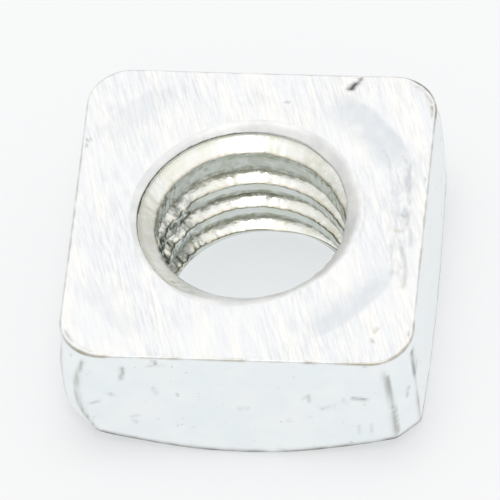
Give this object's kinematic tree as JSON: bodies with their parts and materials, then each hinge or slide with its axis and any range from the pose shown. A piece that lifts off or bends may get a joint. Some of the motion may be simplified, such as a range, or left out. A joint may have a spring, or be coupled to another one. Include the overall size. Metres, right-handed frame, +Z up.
{
  "type": "square nut",
  "caption": "Square nut with a flat bearing face, rounded corners, a countersunk right-hand tapped hole and a conical chamfer under its four sides.",
  "frame": {"origin": "on the thread's axis, at the level of the foot that the nut lies on", "axes": "+Z up along the thread's axis, out of the flat bearing face; X and Y square to the side faces"},
  "size_m": [0.0126, 0.0126, 0.0058],
  "materials": {
    "zinc_plated_steel": "bright zinc plate, brushed on the bearing face and tumbled on the sides"
  },
  "bodies": {
    "root": {"square_nut": "zinc_plated_steel"}
  },
  "joints": []
}
